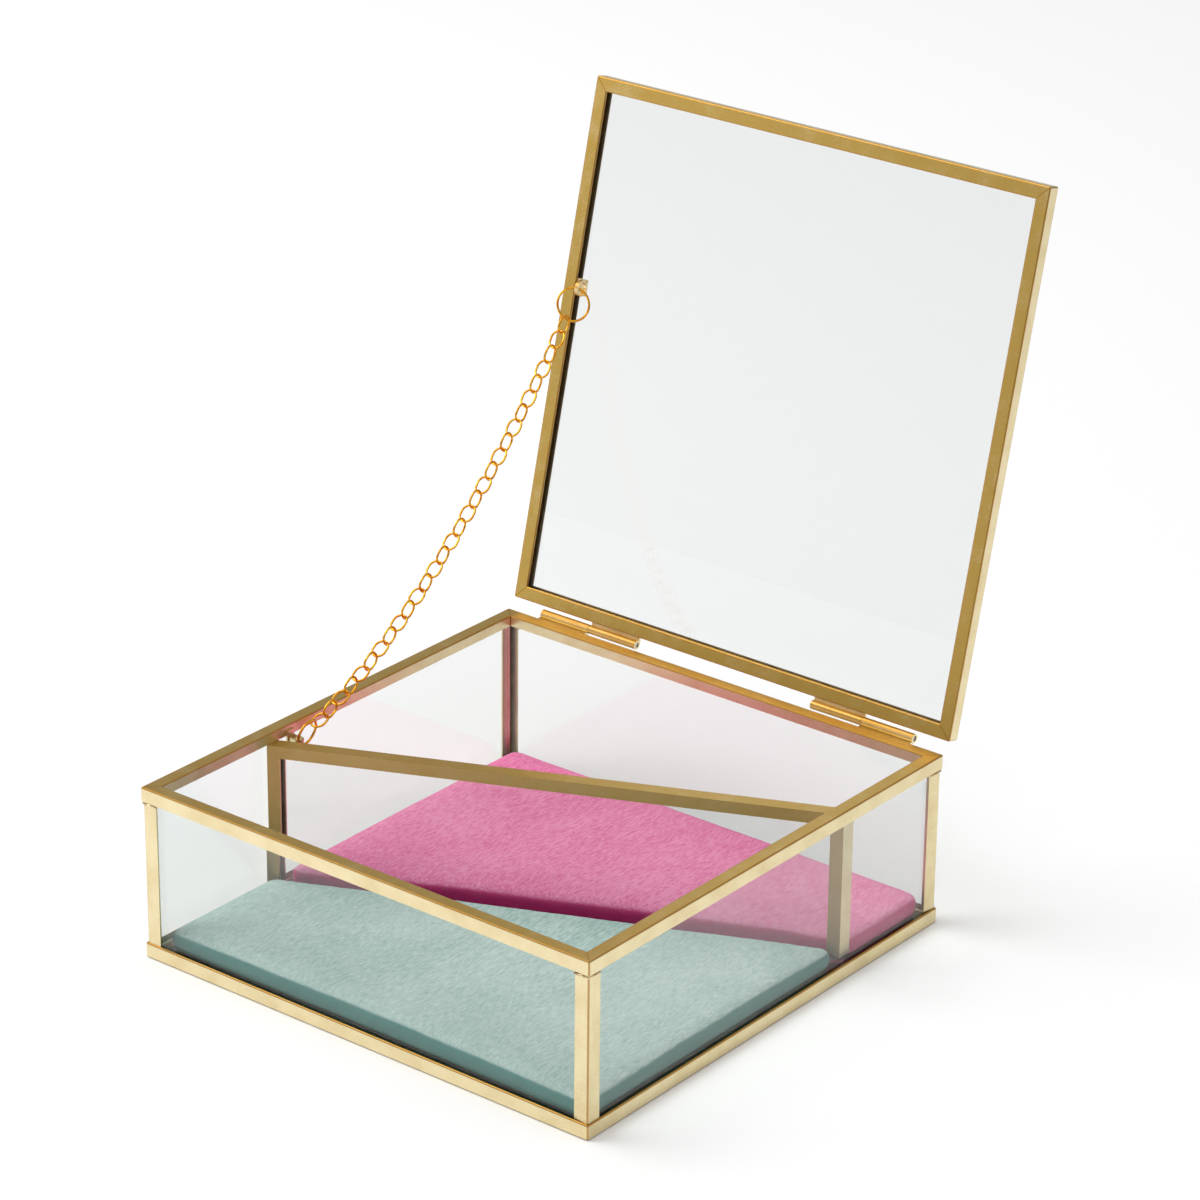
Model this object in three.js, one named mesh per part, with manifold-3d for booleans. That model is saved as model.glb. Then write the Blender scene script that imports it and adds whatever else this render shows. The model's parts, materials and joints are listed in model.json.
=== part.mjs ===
// A square glass jewelry box with folded brass trim, a hinged glass lid held by a stay chain,
// a diagonal glass divider and two velvet cushions. Millimetres, +Z up, origin on the underside.
import * as THREE from 'three';
import { mergeVertices } from 'three/addons/utils/BufferGeometryUtils.js';
import Module from 'manifold-3d';

const wasm = await Module();
wasm.setup();

// Driving dimensions
const WIDTH = 150;
const DEPTH = 150;
const HEIGHT = 50;
const LID_THICKNESS = 4;
const LID_OPEN_DEG = 103.8;
const GLASS = 2;
const STRIP = 0.4;
const TRIM = 4;
const RIM_INNER_FLANGE = 3.1;
const BASE_TRIM_HEIGHT = 4;
const POST_LEG = 4.6;
const FELT = 0.95;
const FELT_PROUD = 0.35;
const EDGE_ROUND = 0.35;
const CORNER_ROUND = 0.5;

const DIVIDER_FRONT_LEFT_Y = -30.7;
const DIVIDER_FRONT_RIGHT_Y = 33.8;
const DIVIDER_THICKNESS = 4;
const DIVIDER_TRIM = 3.5;
const DIVIDER_REAR_TRIM = 2.4;
const DIVIDER_FOOT = 1.5;
const DIVIDER_FOOT_CUT = 1.4;
const DIVIDER_FROM_WALL = 0.9;

const BOARD = 1.2;
const FRONT_PAD = 4.5;
const REAR_PAD = 5.3;
const BOARD_INSET = 3;
const PAD_ROUND = 1.4;
const PAD_CORNER = 2.5;

const HINGE_RADIUS = 1.3;
const HINGE_BORE = 0.75;
const HINGE_PIN = 0.66;
const HINGE_BEHIND = 2.2;
const HINGE_ABOVE = 0.55;
const HINGE_TUBE = 16.9;
const HINGE_CENTRE_X = 47.2;
const HINGE_WEB = 0.8;

const CHAIN_FROM_SIDE = 7;
const LID_DIP_DEG = 11;
const BOX_DIP_DEG = 19;
const LINKS = 30;
const LINK_WIRE = 0.6;
const LINK_WIDTH = 5;
const LID_RING_WIRE = 0.64;
const LID_RING_SIZE = 10;
const LID_RING_TURN_DEG = 52;
const BOX_RING_WIRE = 0.7;
const BOX_RING_SIZE = 8.4;
const BOX_RING_TURN_DEG = 105;
const LID_EYE_FROM_REAR = 91.2;
const LID_EYE_STRIP = 0.45;
const LID_EYE_RADIUS = 2.3;
const LID_EYE_WIDTH = 1.1;
const LID_EYE_PLAY = 0.4;
const BOX_EYE_Y = -20.7;
const BOX_EYE_STRIP = 0.5;
const BOX_EYE_HEIGHT = 1.4;
const BOX_EYE_HOLE = 1.8;
const BOX_EYE_BELOW_RIM = 4;
const BOX_EYE_PLATE = 3.2;

// Faces round a loop's path and round its wire
const LID_RING_STEPS = 28;
const BOX_RING_STEPS = 24;
const LINK_STEPS = 14;
const WIRE_SIDES = 6;

// Named clearances
const FIT = 0.05;
const LID_GAP = 0.25;
const PAD_GAP = 0.8;
const PAD_LEFT_GAP = 2.2;
const PAD_DIVIDER_GAP = 0.5;
const WIRE_PLAY = 0.06;
const TURN_PLAY = 0.08;

// Levels and faces that the fits come from
const HALF_W = WIDTH / 2;
const HALF_D = DEPTH / 2;
const BASE_LIP_TOP = FELT_PROUD + STRIP + 0.2;
const FLOOR_BOTTOM = Math.max(FELT, BASE_LIP_TOP) + FIT;
const FLOOR_TOP = FLOOR_BOTTOM + GLASS;
const RIM_BOTTOM = HEIGHT - TRIM;
const FLANGE_BOTTOM = HEIGHT - RIM_INNER_FLANGE;
const POST_OUT = STRIP + FIT;
const GLASS_OUT = POST_OUT + STRIP + FIT;
const GLASS_IN = GLASS_OUT + GLASS;
const LID_BOTTOM = HEIGHT + LID_GAP;
const HINGE_Y = HALF_D + HINGE_BEHIND;
const HINGE_Z = HEIGHT + HINGE_ABOVE;
const CHAIN_X = -HALF_W + CHAIN_FROM_SIDE;

const MATERIALS = {
  trim: { color: 0xcdb27a, roughness: 0.34, metalness: 1 },
  chain: { color: 0xe6ab3c, roughness: 0.16, metalness: 1 },
  steel: { color: 0xb9bcc0, roughness: 0.3, metalness: 1 },
  glass: { color: 0xe8f0ee, roughness: 0.03, metalness: 0, transparent: true, opacity: 0.25 },
  felt: { color: 0x171615, roughness: 0.95, metalness: 0 },
  mint: { color: 0xa9c4bf, roughness: 0.9, metalness: 0 },
  pink: { color: 0xdb6fa5, roughness: 0.9, metalness: 0 },
  card: { color: 0x2a2826, roughness: 0.9, metalness: 0 },
};

const part = new THREE.Group();
const lid = new THREE.Group();
lid.position.set(0, HINGE_Y, HINGE_Z);
lid.rotation.x = -THREE.MathUtils.degToRad(LID_OPEN_DEG);
part.add(lid);

function add(name, geometry, material, group = part) {
  const mesh = new THREE.Mesh(geometry, new THREE.MeshStandardMaterial(MATERIALS[material]));
  mesh.name = name;
  group.add(mesh);
  return mesh;
}

function solid(geometry) {
  const bare = geometry.clone();
  bare.deleteAttribute('normal');
  bare.deleteAttribute('uv');
  const merged = mergeVertices(bare, 1e-5);
  return new wasm.Manifold(new wasm.Mesh({
    numProp: 3,
    vertProperties: new Float32Array(merged.attributes.position.array),
    triVerts: new Uint32Array(merged.index.array),
  }));
}

function shell(body) {
  const mesh = body.getMesh();
  const geometry = new THREE.BufferGeometry();
  geometry.setAttribute('position', new THREE.BufferAttribute(mesh.vertProperties, 3));
  geometry.setIndex(new THREE.BufferAttribute(mesh.triVerts, 1));
  geometry.computeVertexNormals();
  return geometry;
}

function box(x0, x1, y0, y1, z0, z1) {
  const geometry = new THREE.BoxGeometry(x1 - x0, y1 - y0, z1 - z0);
  geometry.translate((x0 + x1) / 2, (y0 + y1) / 2, (z0 + z1) / 2);
  return geometry;
}

// A centred rectangle; round > 0 gives it round corners.
function plate(halfX, halfY, round) {
  const shape = new THREE.Shape();
  if (!round) {
    shape.moveTo(-halfX, -halfY);
    shape.lineTo(halfX, -halfY);
    shape.lineTo(halfX, halfY);
    shape.lineTo(-halfX, halfY);
    return shape;
  }
  const inX = halfX - round;
  const inY = halfY - round;
  shape.moveTo(inX, -halfY);
  shape.absarc(inX, -inY, round, -Math.PI / 2, 0);
  shape.absarc(inX, inY, round, 0, Math.PI / 2);
  shape.absarc(-inX, inY, round, Math.PI / 2, Math.PI);
  shape.absarc(-inX, -inY, round, Math.PI, Math.PI * 1.5);
  return shape;
}

function prism(shape, z0, z1, bevel = 0) {
  const geometry = new THREE.ExtrudeGeometry(shape, {
    depth: z1 - z0 - 2 * bevel,
    bevelEnabled: bevel > 0,
    bevelSize: bevel,
    bevelThickness: bevel,
    bevelOffset: -bevel,
    bevelSegments: 2,
    curveSegments: 3,
  });
  geometry.translate(0, 0, z0 + bevel);
  return geometry;
}

// The trim's square ring: rounded outer edges, open in the middle.
function trimRing(z0, z1) {
  const ring = plate(HALF_W, HALF_D, CORNER_ROUND);
  ring.holes.push(plate(HALF_W - TRIM, HALF_D - TRIM, 0));
  return solid(prism(ring, z0, z1, EDGE_ROUND));
}

// A square ring of space between two distances from the trim's outer faces.
function ringSpace(outer, inner, z0, z1) {
  const space = plate(HALF_W - outer, HALF_D - outer, 0);
  space.holes.push(plate(HALF_W - inner, HALF_D - inner, 0));
  return solid(prism(space, z0, z1));
}

function baseRim() {
  const top = FELT_PROUD + BASE_TRIM_HEIGHT;
  const outside = trimRing(FELT_PROUD - TRIM, top);
  const below = solid(box(-WIDTH, WIDTH, -DEPTH, DEPTH, -2 * TRIM, FELT_PROUD));
  const inside = ringSpace(STRIP, 2 * TRIM, BASE_LIP_TOP, top + TRIM);
  return shell(outside.subtract(below).subtract(inside));
}

function topRim() {
  const outside = trimRing(RIM_BOTTOM - TRIM, HEIGHT);
  const below = solid(box(-WIDTH, WIDTH, -DEPTH, DEPTH, 0, RIM_BOTTOM));
  const channel = ringSpace(STRIP, TRIM - STRIP, 0, HEIGHT - STRIP);
  const underFlange = ringSpace(TRIM - STRIP - 1, 2 * TRIM, 0, FLANGE_BOTTOM);
  return shell(outside.subtract(below).subtract(channel).subtract(underFlange));
}

// An L-angle for the corner at +X, -Y; the others are turned copies.
function cornerPost(z0, z1) {
  const angle = new THREE.Shape();
  angle.moveTo(-POST_LEG, 0);
  angle.absarc(-CORNER_ROUND, CORNER_ROUND, CORNER_ROUND, -Math.PI / 2, 0);
  angle.lineTo(0, POST_LEG);
  angle.lineTo(-STRIP, POST_LEG);
  angle.lineTo(-STRIP, STRIP);
  angle.lineTo(-POST_LEG, STRIP);
  return prism(angle, z0, z1);
}

function lidFrame() {
  const outside = trimRing(0, LID_THICKNESS);
  const channel = ringSpace(STRIP, 2 * TRIM, STRIP, LID_THICKNESS - STRIP);
  return shell(outside.subtract(channel));
}

// The divider runs straight between the side walls. v is a distance behind its front face.
const DIVIDER_END = HALF_W - GLASS_IN - DIVIDER_FROM_WALL;
const DIVIDER_SLOPE = (DIVIDER_FRONT_RIGHT_Y - DIVIDER_FRONT_LEFT_Y) / (2 * DIVIDER_END);
const DIVIDER_MID_Y = (DIVIDER_FRONT_RIGHT_Y + DIVIDER_FRONT_LEFT_Y) / 2;
const DIVIDER_COS = 1 / Math.hypot(1, DIVIDER_SLOPE);
const DIVIDER_TOP = FLANGE_BOTTOM - 2 * FIT;
const DIVIDER_BOTTOM = FLOOR_TOP + FIT;

function dividerY(x, v) {
  return DIVIDER_MID_Y + DIVIDER_SLOPE * x + v / DIVIDER_COS;
}

function dividerSlab(halfX, v0, v1, z0, z1) {
  const plan = new THREE.Shape();
  plan.moveTo(-halfX, dividerY(-halfX, v0));
  plan.lineTo(halfX, dividerY(halfX, v0));
  plan.lineTo(halfX, dividerY(halfX, v1));
  plan.lineTo(-halfX, dividerY(-halfX, v1));
  return solid(prism(plan, z0, z1));
}

function dividerFootCut(side) {
  const outer = side * (DIVIDER_END + 1);
  const inner = side * (DIVIDER_END - DIVIDER_TRIM - 1);
  const rise = DIVIDER_FOOT_CUT * (DIVIDER_TRIM + 2) / DIVIDER_TRIM;
  const foot = DIVIDER_BOTTOM + DIVIDER_FOOT;
  const wedge = new THREE.Shape();
  wedge.moveTo(outer, foot - rise);
  wedge.lineTo(outer, foot);
  wedge.lineTo(inner, foot + rise);
  wedge.lineTo(inner, foot - rise);
  const geometry = prism(wedge, -DEPTH, DEPTH);
  geometry.rotateX(Math.PI / 2);
  return solid(geometry);
}

function dividerFrame() {
  const front = DIVIDER_END - DIVIDER_TRIM * DIVIDER_COS;
  const rear = DIVIDER_END - DIVIDER_REAR_TRIM * DIVIDER_COS;
  const mid = DIVIDER_THICKNESS / 2;
  const under = DIVIDER_TOP - DIVIDER_TRIM;
  const inside = DIVIDER_THICKNESS - STRIP;
  let frame = dividerSlab(DIVIDER_END, 0, DIVIDER_THICKNESS, DIVIDER_BOTTOM, DIVIDER_TOP);
  frame = frame.subtract(dividerSlab(front, -mid, mid, 0, under));
  frame = frame.subtract(dividerSlab(rear, mid / 2, 3 * mid, 0, under));
  frame = frame.subtract(dividerSlab(DIVIDER_END - STRIP, STRIP, inside, 0, DIVIDER_TOP - STRIP));
  return shell(frame.subtract(dividerFootCut(-1)).subtract(dividerFootCut(1)));
}

function dividerPane() {
  const v0 = (DIVIDER_THICKNESS - GLASS) / 2;
  const pane = dividerSlab(
    DIVIDER_END - STRIP - FIT, v0, v0 + GLASS, DIVIDER_BOTTOM, DIVIDER_TOP - STRIP - FIT,
  );
  return shell(pane);
}

// One compartment's outline: its corners, anticlockwise, each with an arc of the given radius.
function padPlan(corners, round) {
  const shape = new THREE.Shape();
  corners.forEach((corner, i) => {
    const back = corners[(i + corners.length - 1) % corners.length].clone().sub(corner).normalize();
    const ahead = corners[(i + 1) % corners.length].clone().sub(corner).normalize();
    const half = Math.acos(back.dot(ahead)) / 2;
    const start = corner.clone().addScaledVector(back, round / Math.tan(half));
    const middle = back.clone().add(ahead).normalize().multiplyScalar(round / Math.sin(half));
    const centre = corner.clone().add(middle);
    const from = start.clone().sub(centre).angle();
    if (i === 0) shape.moveTo(start.x, start.y);
    else shape.lineTo(start.x, start.y);
    shape.absarc(centre.x, centre.y, round, from, from + Math.PI - 2 * half);
  });
  return shape;
}

// side -1 is in front of the divider, side 1 behind it.
function padCorners(side, inset) {
  const left = -HALF_W + GLASS_IN + PAD_LEFT_GAP + inset;
  const right = HALF_W - GLASS_IN - PAD_GAP - inset;
  const wallY = side * (HALF_D - GLASS_IN - PAD_GAP - inset);
  const gap = PAD_DIVIDER_GAP + inset;
  const v = side < 0 ? -gap : DIVIDER_THICKNESS + gap;
  const corners = [
    new THREE.Vector2(left, wallY),
    new THREE.Vector2(right, wallY),
    new THREE.Vector2(right, dividerY(right, v)),
    new THREE.Vector2(left, dividerY(left, v)),
  ];
  return side < 0 ? corners : corners.reverse();
}

// The velvet wraps the board's edge, so the cushion has a pocket for the board in its underside.
const PAD_BOTTOM = FLOOR_TOP + FIT;

function pad(side, thickness) {
  const top = PAD_BOTTOM + BOARD + thickness;
  const whole = solid(prism(padPlan(padCorners(side, 0), PAD_CORNER), PAD_BOTTOM, top, PAD_ROUND));
  const pocket = padPlan(padCorners(side, BOARD_INSET - FIT), PAD_CORNER);
  return shell(whole.subtract(solid(prism(pocket, 0, PAD_BOTTOM + BOARD + FIT))));
}

function padBoard(side) {
  const plan = padPlan(padCorners(side, BOARD_INSET), PAD_CORNER);
  return prism(plan, PAD_BOTTOM, PAD_BOTTOM + BOARD);
}

// A hinge tube along X round the hinge axis, with the soldered web that holds it to the trim.
function hingeTube(x0, x1, webZ0) {
  const alongX = (radius, from, to, sides) => {
    const geometry = new THREE.CylinderGeometry(radius, radius, to - from, sides);
    geometry.rotateZ(Math.PI / 2);
    geometry.translate((from + to) / 2, 0, 0);
    return solid(geometry);
  };
  const web = solid(box(x0, x1, -HINGE_BEHIND, 0, webZ0, webZ0 + HINGE_WEB));
  const tube = alongX(HINGE_RADIUS, x0, x1, 16).add(web);
  return shell(tube.subtract(alongX(HINGE_BORE, x0 - 1, x1 + 1, 12)));
}

function hingePin(x0, x1) {
  const geometry = new THREE.CylinderGeometry(HINGE_PIN, HINGE_PIN, x1 - x0, 12);
  geometry.rotateZ(Math.PI / 2);
  geometry.translate((x0 + x1) / 2, 0, 0);
  return geometry;
}

// A closed wire loop in the XY plane, its long way along Y: two half rings and straight sides.
function wireLoop(length, width, wire, turns, sides) {
  const profile = [];
  for (let i = 0; i <= sides; i += 1) {
    const angle = (i / sides) * 2 * Math.PI;
    const out = (width - wire) / 2 + (wire / 2) * Math.cos(angle);
    profile.push(new THREE.Vector2(out, (wire / 2) * Math.sin(angle)));
  }
  profile[sides] = profile[0].clone();
  const geometry = new THREE.LatheGeometry(profile, turns, Math.PI / turns);
  geometry.rotateX(Math.PI / 2);
  const stretch = (length - width) / 2;
  const position = geometry.attributes.position;
  for (let i = 0; i < position.count; i += 1) {
    position.setY(i, position.getY(i) + Math.sign(position.getY(i)) * stretch);
  }
  return shell(solid(geometry));
}

// The lid eye: a short strip tube along X that the ring runs through, on a flat tab.
function lidEye(y, z) {
  const x0 = CHAIN_X - LID_EYE_WIDTH / 2;
  const x1 = CHAIN_X + LID_EYE_WIDTH / 2;
  const tube = (radius, from, to) => {
    const geometry = new THREE.CylinderGeometry(radius, radius, to - from, 18);
    geometry.rotateZ(Math.PI / 2);
    geometry.translate((from + to) / 2, y, z);
    return solid(geometry);
  };
  const tabTop = z + LID_EYE_RADIUS;
  const tab = solid(box(-HALF_W + TRIM, x1, y - LID_EYE_RADIUS, y + LID_EYE_RADIUS,
    tabTop - LID_EYE_STRIP, tabTop));
  const bore = tube(LID_EYE_RADIUS - LID_EYE_STRIP, x0 - 0.5, x1 + 0.5);
  return shell(tube(LID_EYE_RADIUS, x0, x1).add(tab).subtract(bore));
}

// The box eye: a strip bent into a D that lies flat, on a plate soldered to the rim's inner flange.
function boxEye() {
  const inside = BOX_EYE_HOLE / 2;
  const outside = inside + BOX_EYE_STRIP;
  const reach = CHAIN_FROM_SIDE - TRIM + BOX_RING_WIRE / 2 + FIT;
  const dee = new THREE.Shape();
  dee.moveTo(0, -outside);
  dee.absarc(reach, 0, outside, -Math.PI / 2, Math.PI / 2);
  dee.lineTo(0, outside);
  dee.lineTo(0, inside);
  dee.absarc(reach, 0, inside, Math.PI / 2, -Math.PI / 2, true);
  dee.lineTo(0, -inside);
  const strip = solid(prism(dee, -BOX_EYE_HEIGHT / 2, BOX_EYE_HEIGHT / 2));
  const bottom = -BOX_EYE_HEIGHT / 2;
  const plate = solid(box(0, BOX_EYE_STRIP, -outside, outside, bottom, bottom + BOX_EYE_PLATE));
  return shell(strip.add(plate));
}

// Trim, glass and felt of the box
add('base_felt', box(-HALF_W + TRIM + 2 * FIT, HALF_W - TRIM - 2 * FIT,
  -HALF_D + TRIM + 2 * FIT, HALF_D - TRIM - 2 * FIT, 0, FELT), 'felt');
add('base_rim', baseRim(), 'trim');
add('top_rim', topRim(), 'trim');
add('pane_bottom', box(-HALF_W + GLASS_OUT, HALF_W - GLASS_OUT,
  -HALF_D + GLASS_OUT, HALF_D - GLASS_OUT, FLOOR_BOTTOM, FLOOR_TOP), 'glass');

const WALL_Z0 = FLOOR_TOP + FIT;
const WALL_Z1 = HEIGHT - STRIP - FIT;
const WALL_X = HALF_W - GLASS_OUT;
const WALL_Y = HALF_D - GLASS_OUT;
add('pane_front', box(-WALL_X, WALL_X, -WALL_Y, -WALL_Y + GLASS, WALL_Z0, WALL_Z1), 'glass');
add('pane_rear', box(-WALL_X, WALL_X, WALL_Y - GLASS, WALL_Y, WALL_Z0, WALL_Z1), 'glass');
const SIDE_Y = WALL_Y - GLASS - FIT;
add('pane_left', box(-WALL_X, -WALL_X + GLASS, -SIDE_Y, SIDE_Y, WALL_Z0, WALL_Z1), 'glass');
add('pane_right', box(WALL_X - GLASS, WALL_X, -SIDE_Y, SIDE_Y, WALL_Z0, WALL_Z1), 'glass');

const POSTS = [
  ['front_right', 1, -1, 0],
  ['rear_right', 1, 1, 90],
  ['rear_left', -1, 1, 180],
  ['front_left', -1, -1, 270],
];
for (const [corner, sideX, sideY, turn] of POSTS) {
  const post = add(`post_${corner}`, cornerPost(BASE_LIP_TOP + FIT, HEIGHT - STRIP - FIT), 'trim');
  post.position.set(sideX * (HALF_W - POST_OUT), sideY * (HALF_D - POST_OUT), 0);
  post.rotation.z = THREE.MathUtils.degToRad(turn);
}

// Divider and cushions
add('divider_frame', dividerFrame(), 'trim');
add('divider_pane', dividerPane(), 'glass');
add('front_board', padBoard(-1), 'card');
add('front_cushion', pad(-1, FRONT_PAD), 'mint');
add('rear_board', padBoard(1), 'card');
add('rear_cushion', pad(1, REAR_PAD), 'pink');

// Lid: its own group turns about the hinge axis, and its meshes stand where they are when closed.
const frame = add('lid_frame', lidFrame(), 'trim', lid);
frame.position.set(0, -HINGE_Y, LID_BOTTOM - HINGE_Z);
const LID_PANE_X = HALF_W - STRIP - FIT;
const LID_PANE_Y = HALF_D - STRIP - FIT;
const LID_PANE_Z = (LID_THICKNESS - GLASS) / 2;
const lidPane = add('lid_pane', box(-LID_PANE_X, LID_PANE_X, -LID_PANE_Y, LID_PANE_Y,
  LID_PANE_Z, LID_PANE_Z + GLASS), 'glass', lid);
lidPane.position.copy(frame.position);
const eyeY = HALF_D - LID_EYE_FROM_REAR - HINGE_Y;
const eyeZ = LID_BOTTOM + LID_PANE_Z - FIT - LID_EYE_RADIUS - HINGE_Z;
add('lid_eye', lidEye(eyeY, eyeZ), 'trim', lid);

// Hinges: the outer tube of each is on the box, the inner one on the lid.
for (const [name, side] of [['left', -1], ['right', 1]]) {
  const centre = side * HINGE_CENTRE_X;
  const outer = [centre + side * FIT, centre + side * HINGE_TUBE].sort((a, b) => a - b);
  const inner = [centre - side * HINGE_TUBE, centre - side * FIT].sort((a, b) => a - b);
  const boxTube = add(`hinge_${name}_box_tube`,
    hingeTube(...outer, -HINGE_ABOVE - HINGE_WEB), 'trim');
  boxTube.position.set(0, HINGE_Y, HINGE_Z);
  const pin = add(`hinge_${name}_pin`,
    hingePin(centre - HINGE_TUBE + LID_GAP, centre + HINGE_TUBE - LID_GAP), 'steel');
  pin.position.copy(boxTube.position);
  add(`hinge_${name}_lid_tube`, hingeTube(...inner, HINGE_RADIUS - HINGE_WEB), 'trim', lid);
}

// Stay chain: hangs in one upright plane between the eyes, and dips below the line between them.
const boxEyeZ = HEIGHT - BOX_EYE_BELOW_RIM;
const dee = add('box_eye', boxEye(), 'trim');
dee.position.set(-HALF_W + TRIM, BOX_EYE_Y - (BOX_EYE_HOLE + BOX_EYE_STRIP) / 2, boxEyeZ);

const open = -THREE.MathUtils.degToRad(LID_OPEN_DEG);
const lidEnd = new THREE.Vector3(
  CHAIN_X,
  HINGE_Y + eyeY * Math.cos(open) - eyeZ * Math.sin(open),
  HINGE_Z + eyeY * Math.sin(open) + eyeZ * Math.cos(open),
);
const boxEnd = new THREE.Vector3(CHAIN_X, BOX_EYE_Y, boxEyeZ);
const across = new THREE.Vector3(1, 0, 0);
const lidDip = THREE.MathUtils.degToRad(LID_DIP_DEG);
const boxDip = THREE.MathUtils.degToRad(BOX_DIP_DEG);
const straight = boxEnd.clone().sub(lidEnd).normalize();
const lidPull = straight.clone().applyAxisAngle(across, lidDip);
const boxPull = straight.clone().applyAxisAngle(across, -boxDip);

// Puts a loop's long way along a direction; turn swings its face from up (0) to +X (90).
function placeLoop(mesh, centre, along, turnDeg) {
  const up = new THREE.Vector3().crossVectors(along, across);
  const turn = THREE.MathUtils.degToRad(turnDeg);
  const face = up.multiplyScalar(Math.cos(turn)).addScaledVector(across, Math.sin(turn));
  const side = new THREE.Vector3().crossVectors(along, face);
  mesh.quaternion.setFromRotationMatrix(new THREE.Matrix4().makeBasis(side, along, face));
  mesh.position.copy(centre);
}

const lidRingReach = (LID_RING_SIZE - LID_RING_WIRE) / 2;
const lidRingCentre = lidEnd.clone().addScaledVector(lidPull, LID_EYE_PLAY + lidRingReach);
const lidRing = add('ring_lid', wireLoop(LID_RING_SIZE, LID_RING_SIZE, LID_RING_WIRE,
  LID_RING_STEPS, WIRE_SIDES),
  'chain');
placeLoop(lidRing, lidRingCentre, lidPull, LID_RING_TURN_DEG);

const boxRingReach = (BOX_RING_SIZE - BOX_RING_WIRE) / 2;
const boxEyeHold = Math.hypot(BOX_EYE_STRIP, BOX_EYE_HEIGHT) / 2 + BOX_RING_WIRE / 2 + TURN_PLAY;
const boxRingCentre = boxEnd.clone().addScaledVector(boxPull, boxEyeHold - boxRingReach);
const boxRing = add('ring_box', wireLoop(BOX_RING_SIZE, BOX_RING_SIZE, BOX_RING_WIRE,
  BOX_RING_STEPS, WIRE_SIDES),
  'chain');
placeLoop(boxRing, boxRingCentre, boxPull, BOX_RING_TURN_DEG);

// The first link hangs in the lid's ring and the last in the box's ring. The links' insides
// lie end to end along the dipping curve.
const firstHold = (LID_RING_WIRE + LINK_WIRE + WIRE_PLAY) / 2;
const lastHold = (BOX_RING_WIRE + LINK_WIRE + WIRE_PLAY) / 2;
const chainStart = lidRingCentre.clone().addScaledVector(lidPull, lidRingReach - firstHold);
const chainEnd = boxRingCentre.clone().addScaledVector(boxPull, lastHold - boxRingReach);
const span = chainStart.distanceTo(chainEnd);
const toBend = span * Math.sin(boxDip) / Math.sin(lidDip + boxDip);
const bend = chainStart.clone().addScaledVector(lidPull, toBend);
const curve = new THREE.QuadraticBezierCurve3(chainStart, bend, chainEnd);
const pivots = curve.getSpacedPoints(LINKS);
const linkInside = pivots[0].distanceTo(pivots[1]);
const linkLength = linkInside + 2 * LINK_WIRE + WIRE_PLAY;
for (let i = 0; i < LINKS; i += 1) {
  const link = add(`chain_link_${String(i + 1).padStart(2, '0')}`,
    wireLoop(linkLength, LINK_WIDTH, LINK_WIRE, LINK_STEPS, WIRE_SIDES), 'chain');
  const middle = pivots[i].clone().lerp(pivots[i + 1], 0.5);
  const along = pivots[i + 1].clone().sub(pivots[i]).normalize();
  placeLoop(link, middle, along, i % 2 === 0 ? 90 : 0);
}

export default part;
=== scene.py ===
"""Dresses a glass jewelry box: brass trim, clear glass, a gold chain and two velvet cushions."""

import json
import math

import bmesh
import bpy
import numpy as np
from bpy.props import BoolProperty, FloatProperty, IntProperty, PointerProperty, StringProperty
from mathutils import Matrix, Vector, noise


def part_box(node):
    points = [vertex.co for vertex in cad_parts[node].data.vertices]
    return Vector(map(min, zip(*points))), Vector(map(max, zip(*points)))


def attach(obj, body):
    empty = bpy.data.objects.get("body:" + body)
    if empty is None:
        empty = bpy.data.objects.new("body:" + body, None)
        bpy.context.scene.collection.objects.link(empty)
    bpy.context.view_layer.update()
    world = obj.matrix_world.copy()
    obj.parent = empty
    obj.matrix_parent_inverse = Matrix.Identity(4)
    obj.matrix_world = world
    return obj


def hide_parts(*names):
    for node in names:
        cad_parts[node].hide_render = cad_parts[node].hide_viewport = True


bl_info = {
    "name": "Glass Jewelry Box",
    "version": (1, 0, 0),
    "blender": (4, 5, 0),
    "location": "View3D > Sidebar > Jewelry Box",
    "description": "Dresses a hinged glass jewelry box with trim, glass, chain and velvet cushions",
    "category": "Object",
}

MM = 0.001

# Each pattern's waves per metre, from the size of one wave. Grain, wire lines and pile are
# finer on the real materials, and are drawn as coarse as they need to show.
BRASS_GRAIN = 2600  # 0.4 mm: the brushed grain of the strip
BRASS_CLOUDS = 130  # 8 mm: thicker and thinner plating
WIRE_PATCHES = 420  # 2.4 mm: dull patches on the plated wire, half a link long
STEEL_LINES = 1500  # 0.7 mm: drawing lines on the pins
FELT_FIBRES = 900  # 1.1 mm: tangled wool
PILE_STROKES = 2300  # 0.4 mm: tufts of the velvet's pile
PILE_BRUSHED = 30  # 33 mm: where the pile has been stroked one way or another
BOARD_PULP = 700  # 1.4 mm: specks of pulp

# Round chain wire's gauge, in widths across the flats of the six-sided CAD wire
ROUND_FROM_FLATS = 1.25

# Studio: where the camera and the softboxes stand, in metres, and their sizes
CAMERA_PLACE = Vector((674.1 * MM, -826.9 * MM, 569.5 * MM))
SENSOR_WIDTH = 36
VIEW_DEPTH = 50
FLOOR_HALF = 6
KEY_PLACE = (-0.9, -0.5, 1.5)
KEY_SIZE = 1.2
FILL_PLACE = (-1.4, -0.9, 0.8)
FILL_SIZE = 0.9
FILL_SHARE = 0.5

# The room's light, by height from straight down (0) to straight up (1)
WALLS_END = 0.5
CEILING_STARTS = 0.8

# Solder: how far in and down a drop sits, in its radius and in the crimp's height
CRIMP_FACES = 10
BEAD_INSET = 0.6
BEAD_DROP = 0.3

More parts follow.
